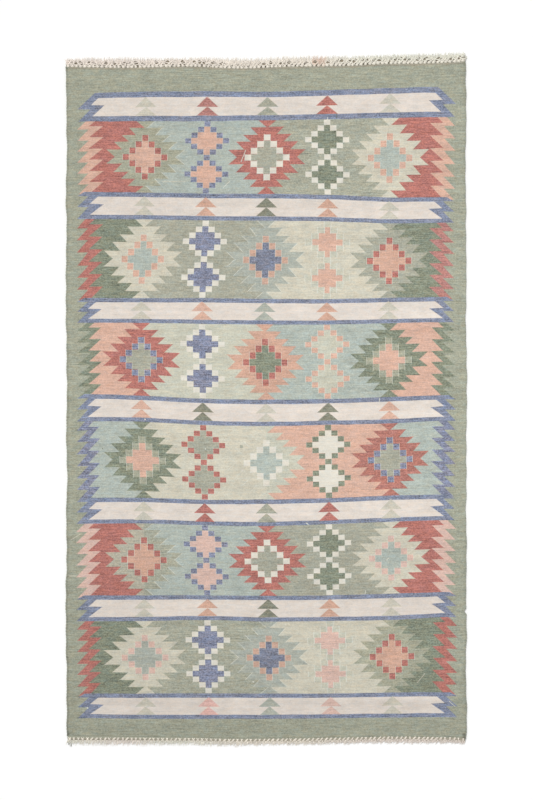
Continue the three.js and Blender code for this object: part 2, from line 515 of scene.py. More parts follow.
def onBand(index, column=None):
    # A place in a band: x from the middle of the rug or of one column, and the share of its height.
    above, below = stripes[index], stripes[index + 1]

    def place(x, share):
        if column is not None:
            x += between(above["columns"][column], below["columns"][column], share)
        return x, between(stripeEdge(above, "lower", x), stripeEdge(below, "upper", x), share)

    return place


def mirrored(profile):
    # A closed shape from its right side.
    return [(x, s) for x, s in profile] + [(-x, s) for x, s in reversed(profile)]


def teethProfile(tips, notchX, tipX, side):
    # One saw-tooth edge from the top of a band to its bottom, a little past both.
    rise = tips[1] - tips[0]
    past = weave["past"]
    points = [(side * between(tipX, notchX, min(1, (tips[0] + past) / rise)), -past)]
    for tip in tips:
        level = tip + drawn.uniform(-sideTeeth["levelStray"], sideTeeth["levelStray"])
        reach = drawn.uniform(-sideTeeth["reachStray"], sideTeeth["reachStray"])
        points += [(side * (tipX + reach), level), (side * (notchX + reach), level)]
    lastRise = 1 + past - tips[-1]
    points.append((side * between(notchX, tipX, min(1, lastRise / rise)), 1 + past))
    return points


def layBand(index):
    band = bands[index]
    above, below = stripes[index]["columns"], stripes[index + 1]["columns"]
    top, bottom = -weave["past"], 1 + weave["past"]
    for end, side in enumerate((-1, 1)):
        reach = between(stripeEnds["blueReach"][index][end], stripeEnds["blueReach"][index + 1][end], 0.5)
        notch, tip = sideTeeth["outer"]
        notch -= sideTeeth["deeper"].get((index, end), 0)
        outer = teethProfile(sideTeeth["outerTips"], notch + reach, tip + reach, side)
        outer += [(side * sideTeeth["to"], bottom), (side * sideTeeth["to"], top)]
        addPatch(walk(outer, onBand(index)), band["teeth"][end])
        inner = teethProfile(sideTeeth["innerTips"], band["inner"][end], sideTeeth["innerTip"] + reach, side)
        inner += [(below[4 * end], bottom), (above[4 * end], top)]
        addPatch(walk(inner, onBand(index)), band["grounds"][3 * end])
    for part, (first, last) in enumerate(((0, 2), (2, 4))):
        corners = [(above[first], top), (above[last], top), (below[last], bottom), (below[first], bottom)]
        addPatch(walk(corners, onBand(index)), band["grounds"][1 + part])
    for column, dyesHere in enumerate(band["columns"]):
        if column % 2 == 0:
            layMedallion(index, column, *dyesHere)
        else:
            layPair(index, column, *dyesHere)


def medallionSide(wide):
    # The right side of a medallion, from top to bottom, its levels and tips a little out of true.
    foot, past = medallion["foot"], medallion["past"]
    points = [(foot, -past), (foot, 0)]
    for isLower in (False, True):
        for share, notch, tip in medallion["levels"][::-1 if isLower else 1]:
            level = 1 - share if isLower else share
            level += drawn.uniform(-medallion["levelStray"], medallion["levelStray"])
            tip += drawn.uniform(-medallion["tipStray"], medallion["tipStray"])
            points += [(tip, level), (notch, level)] if isLower else [(notch, level), (tip, level)]
        if not isLower:
            points.append(medallion["waist"][::-1])
    points += [(foot, 1), (foot, 1 + past)]
    return [(x * wide, s) for x, s in points]


def squareCorners(x, s, half, rise):
    return [(x - half, s - rise), (x + half, s - rise), (x + half, s + rise), (x - half, s + rise)]


def laySquares(place, centre, cell, rowPitch, size, rowSize, dye, slit):
    spots = []
    for row in range(-diamondReach, diamondReach + 1):
        for sign in (-1, 1):
            across = sign * (diamondReach - abs(row))
            if across or sign < 0:
                aside = drawn.uniform(-weave["squareStray"], weave["squareStray"])
                spots.append((across * cell + aside, centre + row * rowPitch))
    # A fine slit stays open at both sides of each square, and shows as a pale line.
    for x, s in spots:
        for side in (-1, 1):
            edge = x + side * (size + slit) / 2
            addPatch(walk(squareCorners(edge, s, slit / 2, rowSize / 2 * slits["taller"]), place), "slit")
    for x, s in spots:
        addPatch(walk(squareCorners(x, s, size / 2, rowSize / 2), place), dye)


def layFill(place, centre, cell, rowPitch, dye):
    side = []
    for row in range(1 - diamondReach, diamondReach):
        half = (diamondReach - 0.5 - abs(row)) * cell
        side += [(half, centre + (row - 0.5) * rowPitch), (half, centre + (row + 0.5) * rowPitch)]
    addPatch(walk(mirrored(side), place), dye)


def layMedallion(index, column, body, squares, fill, outlined=None):
    place = onBand(index, column)
    wide = medallion["wide"].get((index, column), 1)
    halves = body if isinstance(body, tuple) else (body, body)
    spine = [(0, 1 + medallion["past"]), (0, -medallion["past"])]
    for sign, half, dye in zip((-1, 1), ("left", "right"), halves):
        side = medallionSide(wide)
        if outlined in ("both", half):
            # Where two like colours meet along the warp, an open slit shows as a pale line.
            addPatch(walk([(sign * (x + slits["outline"]), s) for x, s in side] + spine, place), "slit")
        addPatch(walk([(sign * x, s) for x, s in side] + spine, place), dye)
    cell, rowPitch = medallion["cell"]
    cell *= wide * medallion["cells"].get((index, column), 1)
    size, rowSize = medallion["square"]
    layFill(place, medallion["centre"], cell, rowPitch, fill)
    laySquares(place, medallion["centre"], cell, rowPitch, size, rowSize, squares, slits["square"])


def layPair(index, column, squares, fill, slit=slits["pair"]):
    place = onBand(index, column)
    pitch = 1 / smallPair["rows"]
    cell = smallPair["cell"]
    size, rowShare = smallPair["square"]
    middles = [(row + 0.5) * pitch for row in smallPair["centres"]]
    for middle in middles:
        layFill(place, middle, cell, pitch, fill)
    for middle in middles:
        laySquares(place, middle, cell, pitch, size, pitch * rowShare, squares, slit)


def layMark(start, end, width, dye):
    start, end = Vector(start), Vector(end)
    aside = (end - start).orthogonal().normalized() * width / 2
    addPatch([start + aside, start - aside, end - aside, end + aside], dye)


def layStripe(index):
    place = onStripe(index)
    stripe = stripes[index]
    height = stripe["upper"][3] - stripe["lower"][3]
    top = stripe["border"][0] / height
    foot = 1 - stripe["border"][1] / height
    kinds = ("firstBlue", "firstWhite") if index == 0 else ("blue", "white")
    for kind, dye, reaches in zip(kinds, ("blueLine", "cream"), ("blueReach", "whiteReach")):
        left, right = stripeEnds[reaches][index]
        profile = [(x + right, share) for share, x in stripeEnds[kind]]
        profile += [(-x - left, share) for share, x in reversed(stripeEnds[kind])]
        addPatch(walk(profile, place), dye)
    triangles = (
        (top, between(top, foot, treeShape["upperFoot"]), treeShape["half"]),
        (between(top, foot, treeShape["lowerTip"]), foot, treeShape["lowerHalf"][min(index, 1)]),
    )
    tip = weave["warpPitch"] / 2
    for middle, dye in zip(stripe["columns"], treeDyes[index]):
        for apex, base, half in triangles:
            peak = middle + drawn.uniform(-treeShape["stray"], treeShape["stray"])
            corners = [(peak - tip, apex), (peak + tip, apex), (middle + half, base), (middle - half, base)]
            addPatch(walk(corners, place), dye)


def layEndRows():
    # The last rows at the upper end are beaten in with a browner yarn.
    outer, inner = (
        [(x, endY("top", x) - depth) for x in range(-600, 601, weave["longRun"])] for depth in (0.5, 6.5)
    )
    addPatch(outer + inner[::-1], "endRows")


addPatch(clothRing(0), "sage")
layEndRows()
for index in range(len(bands)):
    layBand(index)
for index in range(len(stripes)):
    layStripe(index)
for mark in marks:
    layMark(*mark)
print("pattern laid:", len(patchFaces), "patches,", len(patchCorners), "corners")

# Rings just inside the outline carry the rounded rim, and a loose grid keeps the triangles even.
rim = {
    "round": 2.0,
    "rings": (0.5, 1.6, 4.4, 8.5),
    # How much of the selvedges' painted shade falls at each distance in from the edge.
    "shadedAt": (0, 1.6, 4.4, 8.5),
    "shade": (0.3, 0.7, 1.0, 0.0),
}
grid = {"pitch": 22, "x": 600, "y": 1020, "inset": 11, "stray": 3}

stray = grid["stray"]
for inset in rim["rings"]:
    points = clothRing(inset)
    start = len(patchCorners)
    patchCorners.extend(Vector(p) for p in points)
    count = len(points)
    ringEdges += [(start + i, start + (i + 1) % count) for i in range(count)]
for x in range(-grid["x"], grid["x"] + 1, grid["pitch"]):
    for y in range(-grid["y"], grid["y"] + 1, grid["pitch"]):
        if edgeDistance(x, y) > grid["inset"]:
            patchCorners.append(Vector((x + drawn.uniform(-stray, stray), y + drawn.uniform(-stray, stray))))

insideOnly = 1
weldWithin = 1e-3
result = delaunay_2d_cdt(patchCorners, ringEdges, patchFaces, insideOnly, weldWithin, True)
flatPoints = result[0]
# A triangle from no patch at all is a bay outside the outline, and the last patch laid shows.
dyedFaces = [(face, patchDyes[max(sources)]) for face, sources in zip(result[2], result[5]) if sources]
print("cloth cut into", len(dyedFaces), "triangles,", len(flatPoints), "points")


def findRim():
    # The points of the edges that have a face on one side only.
    used = {}
    for face, dye in dyedFaces:
        for a, b in zip(face, face[1:] + face[:1]):
            key = (min(a, b), max(a, b))
            used[key] = used.get(key, 0) + 1
    return {point for edge, count in used.items() if count == 1 for point in edge}


swell = {"height": 0.45, "length": (210, 170)}  # the slight rise and fall of loose cloth


def clothHeights(x, y):
    # The lower and upper face at a place, with a rounded rim.
    inward = min(edgeDistance(x, y) / rim["round"], 1)
    half = thickness / 2 * math.sqrt(max(0.0, 1 - (1 - inward) ** 2))
    place = Vector((x / swell["length"][0], y / swell["length"][1], 5))
    middle = swell["height"] * (1 + noise.noise(place)) + thickness / 2
    return middle - half, middle + half


def brightness(x, y):
    left, right = (np.interp(y, yarnLots["along"], yarnLots[side]) for side in ("left", "right"))
    bright = between(left, right, 0.5 + 0.5 * max(-1, min(1, x / yarnLots["half"])))
    # Painted shade: the cloth is darker along the selvedges, where the turned wefts are packed tighter, and
    # darker still near the corners.
    side = "left" if x < 0 else "right"
    across = abs(selvedgeX(side, y) - x)
    fromCorner = min(y - endY("bottom", x), endY("top", x) - y)
    depth = np.interp(y, selvedge["shadeAt"], selvedge["shade"][side])
    depth += selvedge["cornerShade"] * math.exp(-(fromCorner / selvedge["cornerReach"])**2)
    return float(bright * (1 - depth * np.interp(across, rim["shadedAt"], rim["shade"])))


def buildPiece(name, points, faces, colours):
    # One mesh of the rug, from millimetres, with the colour of each corner of a face: its dye, and painted
    # shade where there is some.
    mesh = bpy.data.meshes.new(name)
    mesh.from_pydata([Vector(p) * mm + chartOrigin for p in points], [], faces)
    dyed = mesh.color_attributes.new("dye", "FLOAT_COLOR", "CORNER")
    dyed.data.foreach_set("color", np.array(colours, np.float32).ravel())
    mesh.shade_smooth()
    piece = bpy.data.objects.new(name, mesh)
    bpy.context.scene.collection.objects.link(piece)
    return piece


displayGamma = 2.2  # turns a share of the brightness on a screen to one of light


def buildCloth():
    points, upperIndex, lowerIndex = [], [], []
    rimPoints = findRim()
    for i, p in enumerate(flatPoints):
        low, high = clothHeights(p.x, p.y)
        upperIndex.append(len(points))
        if i in rimPoints:
            points.append((p.x, p.y, (low + high) / 2))
            lowerIndex.append(upperIndex[-1])
        else:
            points.append((p.x, p.y, high))
            lowerIndex.append(len(points))
            points.append((p.x, p.y, low))
    # Each point's gain: its yarn lot, and the painted shade along the selvedges and at the corners.
    gains = [brightness(p.x, p.y)**displayGamma for p in flatPoints]
    plain = {dye: linear(hexColour) for dye, (hexColour, mottle) in dyes.items()}
    faces, colours = [], []
    for face, dye in dyedFaces:
        shades = [(*(c * gains[i] for c in plain[dye]), dyes[dye][1]) for i in face]
        faces.append([upperIndex[i] for i in face])
        colours += shades
        faces.append([lowerIndex[i] for i in reversed(face)])
        colours += reversed(shades)
    cloth = buildPiece("rug_cloth", points, faces, colours)
    # Both faces of the cloth share one map of its whole length and width, since both look alike.
    mesh = cloth.data
    bake = mesh.uv_layers.new(name="OFBake")
    corners = np.array([mesh.vertices[loop.vertex_index].co[:2] for loop in mesh.loops])
    span = corners.max(0) - corners.min(0)
    bake.data.foreach_set("uv", ((corners - corners.min(0)) / span).astype(np.float32).ravel())
    return cloth


cloth = buildCloth()
print("cloth meshed:", len(cloth.data.polygons), "faces")

# Dyed cotton, spun by hand and woven weft-faced: dull, soft and mottled, with a rib over each warp.
yarn = {
    "patterns": {
        # size in mm along and across the weft, detail, where it is read, the level taken off it
        "slub": ((4.2, 2.4), 2.0, 5.3, 0.5),
        "streak": ((48, 3.2), 3.0, 3.1, 0.5),
        "blotch": ((38, 24), 3.0, 11.7, 0.5),
        "lot": ((800, 26), 2.0, 23.9, 0.5),
        "hue": ((16, 6.0), 3.0, 31.4, 0.5),
        "fleck": ((5.0, 2.8), 1.0, 17.2, 0.56),
    },
    # How they add up: the result's name, the operation, and the results or numbers it works on.
    "sums": (
        ("ribs", "SUBTRACT", "bead", 0.5),
        ("ribs", "MULTIPLY", "ribs", 0.3),
        ("fine", "MULTIPLY_ADD", "streak", 1.8, "ribs"),
        ("fine", "MULTIPLY_ADD", "slub", 1.95, "fine"),
        # Undyed fibres blended into the darker yarns show as pale flecks.
        ("flecks", "MAXIMUM", "fleck", 0.0),
        ("flecks", "MULTIPLY", "flecks", 2.4),
        ("flecks", "MULTIPLY", "flecks", "strength"),
        ("flecks", "MULTIPLY", "flecks", "strength"),
        ("tone", "MULTIPLY_ADD", "fine", "strength", "flecks"),
        ("tone", "MULTIPLY_ADD", "lot", 0.24, "tone"),
        ("tone", "MULTIPLY_ADD", "blotch", 0.36, "tone"),
        ("tone", "ADD", "tone", 1.0),
        # The dye took unevenly, so the hue drifts between warmer and cooler.
        ("drift", "MULTIPLY_ADD", "strength", 0.32, 0.14),
        ("drift", "MULTIPLY", "drift", "hue"),
        ("warmer", "ADD", 1.0, "drift"),
        ("cooler", "SUBTRACT", 1.0, "drift"),
        ("relief", "SUBTRACT", 1.0, "furrow"),
        ("relief", "MULTIPLY_ADD", "slub", 0.4, "relief"),
    ),
    "bump": {"Strength": 0.35, "Distance": 0.5 * mm},
    "shader": {"Roughness": 0.93, "Specular IOR Level": 0.2, "Sheen Weight": 0.12, "Sheen Roughness": 0.6},
}
clothMaterial, tree, shader = newMaterial("weft_faced_dyed_cotton", yarn["shader"])
dyeNode = addNode(tree, "ShaderNodeAttribute", {"attribute_name": "dye"})
coords = addNode(tree, "ShaderNodeTexCoord")
inMillimetres = addNode(tree, "ShaderNodeVectorMath", {"operation": "SCALE"},
                        {0: coords.outputs["Object"], "Scale": 1 / mm})
turned = addNode(tree, "ShaderNodeMapping", None, {
    "Vector": inMillimetres.outputs[0], "Rotation": (0, 0, math.radians(90)),
})
bead = addNode(tree, "ShaderNodeTexBrick", {"offset": 0.5, "squash": 1.0}, {
    "Vector": turned.outputs[0], "Scale": 1.0, "Brick Width": 2 * weave["pickPitch"],
    "Row Height": weave["warpPitch"], "Mortar Size": 0.55, "Mortar Smooth": 1.0,
    "Color1": (0, 0, 0, 1), "Color2": (1, 1, 1, 1), "Mortar": (0.5, 0.5, 0.5, 1),
})
made = {"strength": dyeNode.outputs["Alpha"], "bead": bead.outputs["Color"], "furrow": bead.outputs["Fac"]}
for name, (size, detail, offset, level) in yarn["patterns"].items():
    placed = addNode(tree, "ShaderNodeVectorMath", {"operation": "MULTIPLY_ADD"}, {
        0: inMillimetres.outputs[0],
        1: (1 / size[0], 1 / size[1], 0),
        2: (offset, offset * 0.7, offset * 0.3),
    })
    pattern = addNode(tree, "ShaderNodeTexNoise", None, {
        "Vector": placed.outputs[0], "Scale": 1.0, "Detail": detail, "Roughness": 0.6,
    })
    made[name] = addNode(tree, "ShaderNodeMath", {"operation": "SUBTRACT"},
                         {0: pattern.outputs["Fac"], 1: level}).outputs[0]
for name, operation, *terms in yarn["sums"]:
    inputs = {i: made[term] if term in made else term for i, term in enumerate(terms)}
    made[name] = addNode(tree, "ShaderNodeMath", {"operation": operation}, inputs).outputs[0]
toned = addNode(tree, "ShaderNodeVectorMath", {"operation": "SCALE"},
                {0: dyeNode.outputs["Color"], "Scale": made["tone"]})
balance = addNode(tree, "ShaderNodeCombineXYZ", None, {0: made["warmer"], 1: 1.0, 2: made["cooler"]})
drifted = addNode(tree, "ShaderNodeVectorMath", {"operation": "MULTIPLY"},
                  {0: toned.outputs[0], 1: balance.outputs[0]})
bump = addNode(tree, "ShaderNodeBump", None, {"Height": made["relief"], **yarn["bump"]})
tree.links.new(drifted.outputs[0], shader.inputs["Base Color"])
tree.links.new(bump.outputs[0], shader.inputs["Normal"])
cloth.data.materials.append(clothMaterial)
print("cloth dyed")

# The warp ends are undyed cotton: fine yarns laid side by side, plied loosely, matt and a little fuzzy.
# Handling and washing have left them pinkish in places and greenish in others.
warpTintsAndShades = {
    "bright": "#e7dfd0",
    "beige": "#f4ecdf",
    "pinkish": "#f1e5dc",
    "greenish": "#ebebdc",
    "stained": "#dcae93",
    # shadeTop and shadeBottom are painted shade: the first warps behind the knots, darkened as if in their
    # own shadow.
    "shadeTop": "#8d8270",  # the first warps behind the knots, in their own shadow
    "shadeBottom": "#b5ae9c",
    "lastWeft": "#9b9c8b",
    "grey": "#b4b5ac",
}

fringeEnds = {
    "top": {
        "node": "fringe_top", "side": 1, "bundles": 94, "seed": 11, "netted": True,
        "knot": {"root": -1.0, "length": 6.6, "radius": 4.7},
        # Which way the knots lean from the left selvedge to the right, and how unevenly.
        "leanAt": (-530, -470, -20, 60, 250),
        "lean": (-3.4, 0, 0.5, 2.5, 5.5),
        "unlike": (1.0, 3.2, 3.2, 1.5, 0.7),
        "backing": {"to": 20.0, "meets": 0.35, "rise": 0.8, "shade": "shadeTop"},
        "gaps": {"share": 0.6, "from": 5.0, "to": 21.0, "half": (5.0, 7.6), "slant": 0.11},
        "bridges": 0.85,  # the share of the knots that have one
        "mat": {"strands": 5, "from": 8.0, "radius": 1.75, "reach": (0.62, 0.84), "shade": 0.0},
        "tails": {"yarns": 13, "from": 12.5, "radius": 0.7, "reach": (0.74, 1.1), "spread": 8.0, "lean": 0.0},
        "tints": ((-612, "pinkish"), (150, "beige"), (330, "greenish"), (612, "greenish")),
        "stain": {"at": 163, "half": 17, "share": 0.55},
        "longer": ((-612, 1.0), (612, 1.0)),
        "starts": ((-612, 0.0), (612, 0.0)),
        "tuft": None,
    },
    "bottom": {
        "node": "fringe_bottom", "side": -1, "bundles": 90, "seed": 23, "netted": False,
        "knot": {"root": -1.2, "length": 10.0, "radius": 1.6},
        "leanAt": (-612, -300, -100, 100, 612),
        "lean": (7, 7, 8, 8, 7),
        "unlike": (1.5, 1.5, 1.0, 1.0, 1.5),
        "alike": ((-612, 0.3), (-200, 0.35), (0, 0.85), (400, 0.75), (612, 0.5)),
        "backing": {"to": 12.0, "meets": -0.6, "rise": 4.1, "shade": "shadeBottom"},
        "gaps": {"share": 0.25, "from": 5.0, "to": 12.0, "half": (1.0, 2.0), "slant": -0.6},
        "mat": {"strands": 3, "from": 7.0, "radius": 2.15, "reach": (0.62, 0.9), "shade": 0.18},
        "tails": {"yarns": 7, "from": 11.0, "radius": 0.65, "reach": (0.64, 1.12), "spread": 6.0, "lean": -5},
        "tints": ((-612, "greenish"), (-420, "pinkish"), (-300, "greenish"), (-60, "beige"), (150, "beige"),
                  (330, "pinkish"), (612, "pinkish")),
        "stain": None,
        "longer": ((-612, 1.06), (-300, 1.04), (0, 1.0), (300, 1.0), (612, 1.0)),
        "starts": ((-612, 5.0), (-300, 3.0), (0, 1.2), (300, 0.0), (612, 0.0)),
        "tuft": {"from": -603, "to": -592, "strands": 10, "length": 33},
    },
}
fringeInset = 2  # how far inside the selvedges the first and the last bundle are
straightReach = 60  # how far from the right selvedge the bundles start to stand straighter

# The kinds of strand. Along it: where it has its rings, how thick it is there, and how high its root
# and its tip lie. Round it: sides, how flat it is, its yarns, their twist, and the groove between them.
quarters = (0, 0.25, 0.5, 0.75, 1)
strandKinds = {
    "knot": dict(at=(0, 0.15, 0.4, 0.65, 0.85, 1), radii=(0.7, 0.95, 1, 0.9, 0.65, 0.35), height=(3.1, 2.1),
                 crown=0.3, sides=10, flat=0.38, yarns=3, twist=0.9, groove=0.16),
    "half": dict(at=quarters, radii=(1.6, 1.9, 1.9, 1.7, 1.2), height=(2.5, 1.9),
                 sides=8, flat=0.8, yarns=2, twist=1.1, groove=0.16),
    "bridge": dict(at=(0, 0.3, 0.6, 1), radii=(1.1, 1.9, 1.9, 1.1), height=(2.6, 2.0),
                   sides=8, flat=0.7, yarns=2, twist=1.1, groove=0.16),
    "secondKnot": dict(at=(0, 0.25, 0.5, 0.8, 1), radii=(1.1, 2.0, 2.3, 1.8, 1.0), height=(2.8, 2.8),
                       sides=8, flat=0.8, yarns=3, twist=1.0, groove=0.16),
    "crossed": dict(at=(0, 0.2, 0.4, 0.6, 0.8, 1), radii=(0.5, 0.9, 1, 1.05, 0.95, 0.6), height=(5.0, 2.6),
                    sides=8, flat=0.8, yarns=2, twist=1.1, groove=0.16),
    "bunch": dict(at=(0, 1 / 3, 2 / 3, 1), radii=(0.5, 1, 1, 0.5), height=(2.6, 2.6),
                  sides=8, flat=0.7, yarns=3, twist=1.0, groove=0.16),
    "mat": dict(at=[i / 7 for i in range(8)], radii=[0.75] + [1 - i / 14 for i in range(1, 8)],
                height=(1.5, 0.9), sides=6, flat=0.45, yarns=2, twist=0.9, groove=0.2),
    "tail": dict(at=[i / 6 for i in range(7)], radii=[1 - 0.7 * max(0, i / 6 - 0.6) / 0.4 for i in range(7)],
                 height=(0.6, 0.6), sides=4, flat=0.8, yarns=0, twist=0, groove=0),
    "tuft": dict(at=quarters, radii=(1.0, 1.1, 1.0, 0.7, 0.35), height=(1.0, 0.8),
                 sides=5, flat=0.8, yarns=0, twist=0, groove=0),
}


class YarnMesh:
    # Gathers strands as one mesh: each is a row of rings round a path, closed at both ends.
    def __init__(self):
        self.points, self.faces, self.colours = [], [], []

    def addStrand(self, kind, at, across, out, colour, girth=1.0, lift=(0, 0)):
        # across gives the x at a share of the length. out and lift each hold a value at root and tip.
        form = strandKinds[kind]
        start, sides = len(self.points), form["sides"]
        path = []
        for share in form["at"]:
            z = between(*form["height"], share) + between(*lift, share)
            z += form.get("crown", 0) * math.sin(math.pi * share)
            path.append(Vector(at(across(share), between(*out, share), z)))
        for i, place in enumerate(path):
            along = (path[min(i + 1, len(path) - 1)] - path[max(i - 1, 0)]).normalized()
            aside = along.cross(Vector((0, 0, 1))).normalized()
            upward = aside.cross(along)
            for k in range(sides):
                angle = 2 * math.pi * (k + 0.5) / sides
                reach = girth * form["radii"][i]
                reach *= 1 + form["groove"] * math.cos(form["yarns"] * angle - form["twist"] * i)
                corner = aside * (reach * math.cos(angle)) + upward * (reach * form["flat"] * math.sin(angle))
                self.points.append(place + corner)
        for i in range(len(path) - 1):
            for k in range(sides):
                a, b = start + i * sides + k, start + i * sides + (k + 1) % sides
                self.addFace([a, a + sides, b + sides, b], colour)
        self.addFace([start + k for k in range(sides)], colour)
        last = start + (len(path) - 1) * sides
        self.addFace([last + k for k in reversed(range(sides))], colour)

    def addFace(self, corners, colour):
        self.faces.append(corners)
        self.colours += [(*colour, 1)] * len(corners)

    def build(self, name):
        return buildPiece(name, self.points, self.faces, self.colours)


def readAt(rows, x):
    # Reads a row of places and values.
    return float(np.interp(x, *zip(*rows)))


def reachReader(end, node, side):
    # How far the tails go past the cloth, read from the frame every 60 mm.
    tips = (np.array([v.co[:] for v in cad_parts[node].data.vertices]) - np.array(chartOrigin)) / mm
    past = side * (tips[:, 1] - np.array([endY(end, x) for x in tips[:, 0]]))
    stations = np.arange(-600, 601, 60)
    longest = [past[abs(tips[:, 0] - x) < 45].max() for x in stations]
    return lambda x: float(np.interp(x, stations, longest))


def mixed(first, second, share):
    return [between(a, b, share) for a, b in zip(first, second)]


def shaded(colour, gain):
    return [gain * c for c in colour]


def tintAt(look, x, chance):
    tints = look["tints"]
    places = [place for place, name in tints]
    share = np.interp(x + chance.uniform(-40, 40), places, range(len(places)))
    low = int(min(share, len(places) - 2))
    first, second = (linear(warpTintsAndShades[tints[k][1]]) for k in (low, low + 1))
    tint = mixed(first, second, share - low)
    stain = look["stain"]
    if stain and abs(x - stain["at"]) < stain["half"]:
        tint = mixed(tint, linear(warpTintsAndShades["stained"]), stain["share"])
    bright = chance.uniform(0.92, 1.04)
    return shaded(mixed(tint, linear(warpTintsAndShades["beige"]), chance.uniform(0, 0.5)), bright)


def findGaps(look, left, pitch, leans, chance):
    # Here and there the yarns part, and the backing's painted shade shows between them.
    gaps = {}
    for index in range(look["bundles"]):
        if chance.random() < look["gaps"]["share"]:
            start = look["gaps"]["from"] + chance.uniform(-1, 3)
            gaps[index] = {
                "x": left + pitch * (index + 0.5) + chance.uniform(-3, 3),
                "slope": look["gaps"]["slant"] * (leans[index] if look["netted"] else 1),
                "start": start,
                "finish": start + chance.uniform(0.6, 1) * (look["gaps"]["to"] - start),
                "half": chance.uniform(*look["gaps"]["half"]),
            }
    return gaps


def buildFringe(end):
    look = fringeEnds[end]
    chance = random.Random(look["seed"])
    yarns = YarnMesh()
    side = look["side"]
    reachAt = reachReader(end, look["node"], side)
    left = selvedgeX("left", endY(end, -selvedge["corner"])) + fringeInset
    right = selvedgeX("right", endY(end, selvedge["corner"])) - fringeInset
    pitch = (right - left) / look["bundles"]
    leans = []
    for index in range(look["bundles"]):
        x = left + pitch * (index + 0.5)
        lean, unlike = (float(np.interp(x, look["leanAt"], look[row])) for row in ("lean", "unlike"))
        leans.append(lean + chance.choice((-1, 1)) * unlike)
    gaps = findGaps(look, left, pitch, leans, chance)

    def straight(x, out, z):
        return x, endY(end, x) + side * out, z

    def parted(x, out, z):
        # Past the knots a yarn bends aside round each gap.
        nearest = int((x - left) / pitch)
        for index in (nearest - 1, nearest, nearest + 1):
            gap = gaps.get(index)
            if gap and gap["start"] < out < gap["finish"]:
                past = out - gap["start"]
                opened = gap["half"] * math.sin(math.pi * past / (gap["finish"] - gap["start"]))**0.6
                aside = x - gap["x"] - gap["slope"] * past
                if abs(aside) < 2 * opened:
                    x += math.copysign(opened - abs(aside) / 2, aside)
        return straight(x, out, z)

    layShadedBacking(yarns, look, straight, left, right)
    for index in range(look["bundles"]):
        x = left + pitch * (index + 0.5) + chance.uniform(-0.9, 0.9)
        # The last bundles stand straight, so that nothing reaches past the selvedge.
        room = min(1, (right - x) / straightReach)
        tone = chance.uniform(0.9, 1.0)
        bright = mixed(linear(warpTintsAndShades["bright"]), tintAt(look, x, chance), 0.35)
        bundle = {
            "x": x, "room": room, "lean": leans[index] * room, "pitch": pitch,
            "reach": reachAt(x) * readAt(look["longer"], x),
            "start": readAt(look["starts"], x),
            "isLast": index == look["bundles"] - 1,
            "slant": min(1, max(0, leans[index] - 3) / 2) * room if look["netted"] else 0,
            "bright": shaded(bright, tone),
        }
        layBundle = layNettedBundle if look["netted"] else layCrossedBundle
        layBundle(yarns, parted, bundle, look, chance)
        for kind, count, layOne in (("mat", "strands", layMatStrand), ("tails", "yarns", layTail)):
            for strand in range(look[kind][count]):
                share = (strand + 0.5) / look[kind][count] - 0.5
                layOne(yarns, parted, bundle, share, look, chance)
    if look["tuft"]:
        layTuft(yarns, straight, look["tuft"], chance)
    return yarns.build("rug_" + look["node"])


def layTuft(yarns, at, tuft, chance):
    # Greyed yarn ends of the selvedge hang loose at the corner.
    for strand in range(tuft["strands"]):
        x = between(tuft["from"], tuft["to"], (strand + 0.5) / tuft["strands"])
        length = tuft["length"] * chance.uniform(0.7, 1.05)
        drift = chance.uniform(-2, 3)
        tint = shaded(linear(warpTintsAndShades["grey"]), chance.uniform(0.9, 1.05))
        yarns.addStrand("tuft", at, lambda t: x + drift * t**2, (-2, length), tint)


def layShadedBacking(yarns, look, at, left, right):
    # The last weft rows, and past them the first warps behind the knots, coloured with painted shade,
    # as one low band: three rows of points, each with a lower and an upper one at every post.
    backing = look["backing"]
    rise = backing["rise"]
    lows = (rise - 0.4, 0.1, 0.1)
    highs = (rise, rise * 0.85, 0.5)
    posts = 160
    for row in range(3):
        for i in range(posts + 1):
            x = between(left, right, i / posts)
            out = (backing["meets"], readAt(look["starts"], x) + 0.8, backing["to"])[row]
            yarns.points += [Vector(at(x, out, z)) for z in (lows[row], highs[row])]
    far = 2 * (posts + 1)
    shade = backing["shade"]
    quads = []
    # The first strip has the colour of the last wefts; the second is painted shade.
    for row, dye in enumerate(("lastWeft", shade)):
        first, last = row * far, row * far + 2 * posts
        quads.append(([first, first + 1, first + 1 + far, first + far], dye))
        quads.append(([last + 1, last, last + far, last + 1 + far], dye))
        for a in range(first, last, 2):
            quads.append(([a + 1, a + 3, a + 3 + far, a + 1 + far], dye))
            quads.append(([a + 2, a, a + far, a + 2 + far], dye))
    for a in range(0, 2 * posts, 2):
        outer = a + 2 * far
        quads.append(([a, a + 2, a + 3, a + 1], "lastWeft"))
        quads.append(([outer + 2, outer, outer + 1, outer + 3], shade))
    for quad, dye in quads:
        yarns.addFace(quad if look["side"] > 0 else quad[::-1], linear(warpTintsAndShades[dye]))


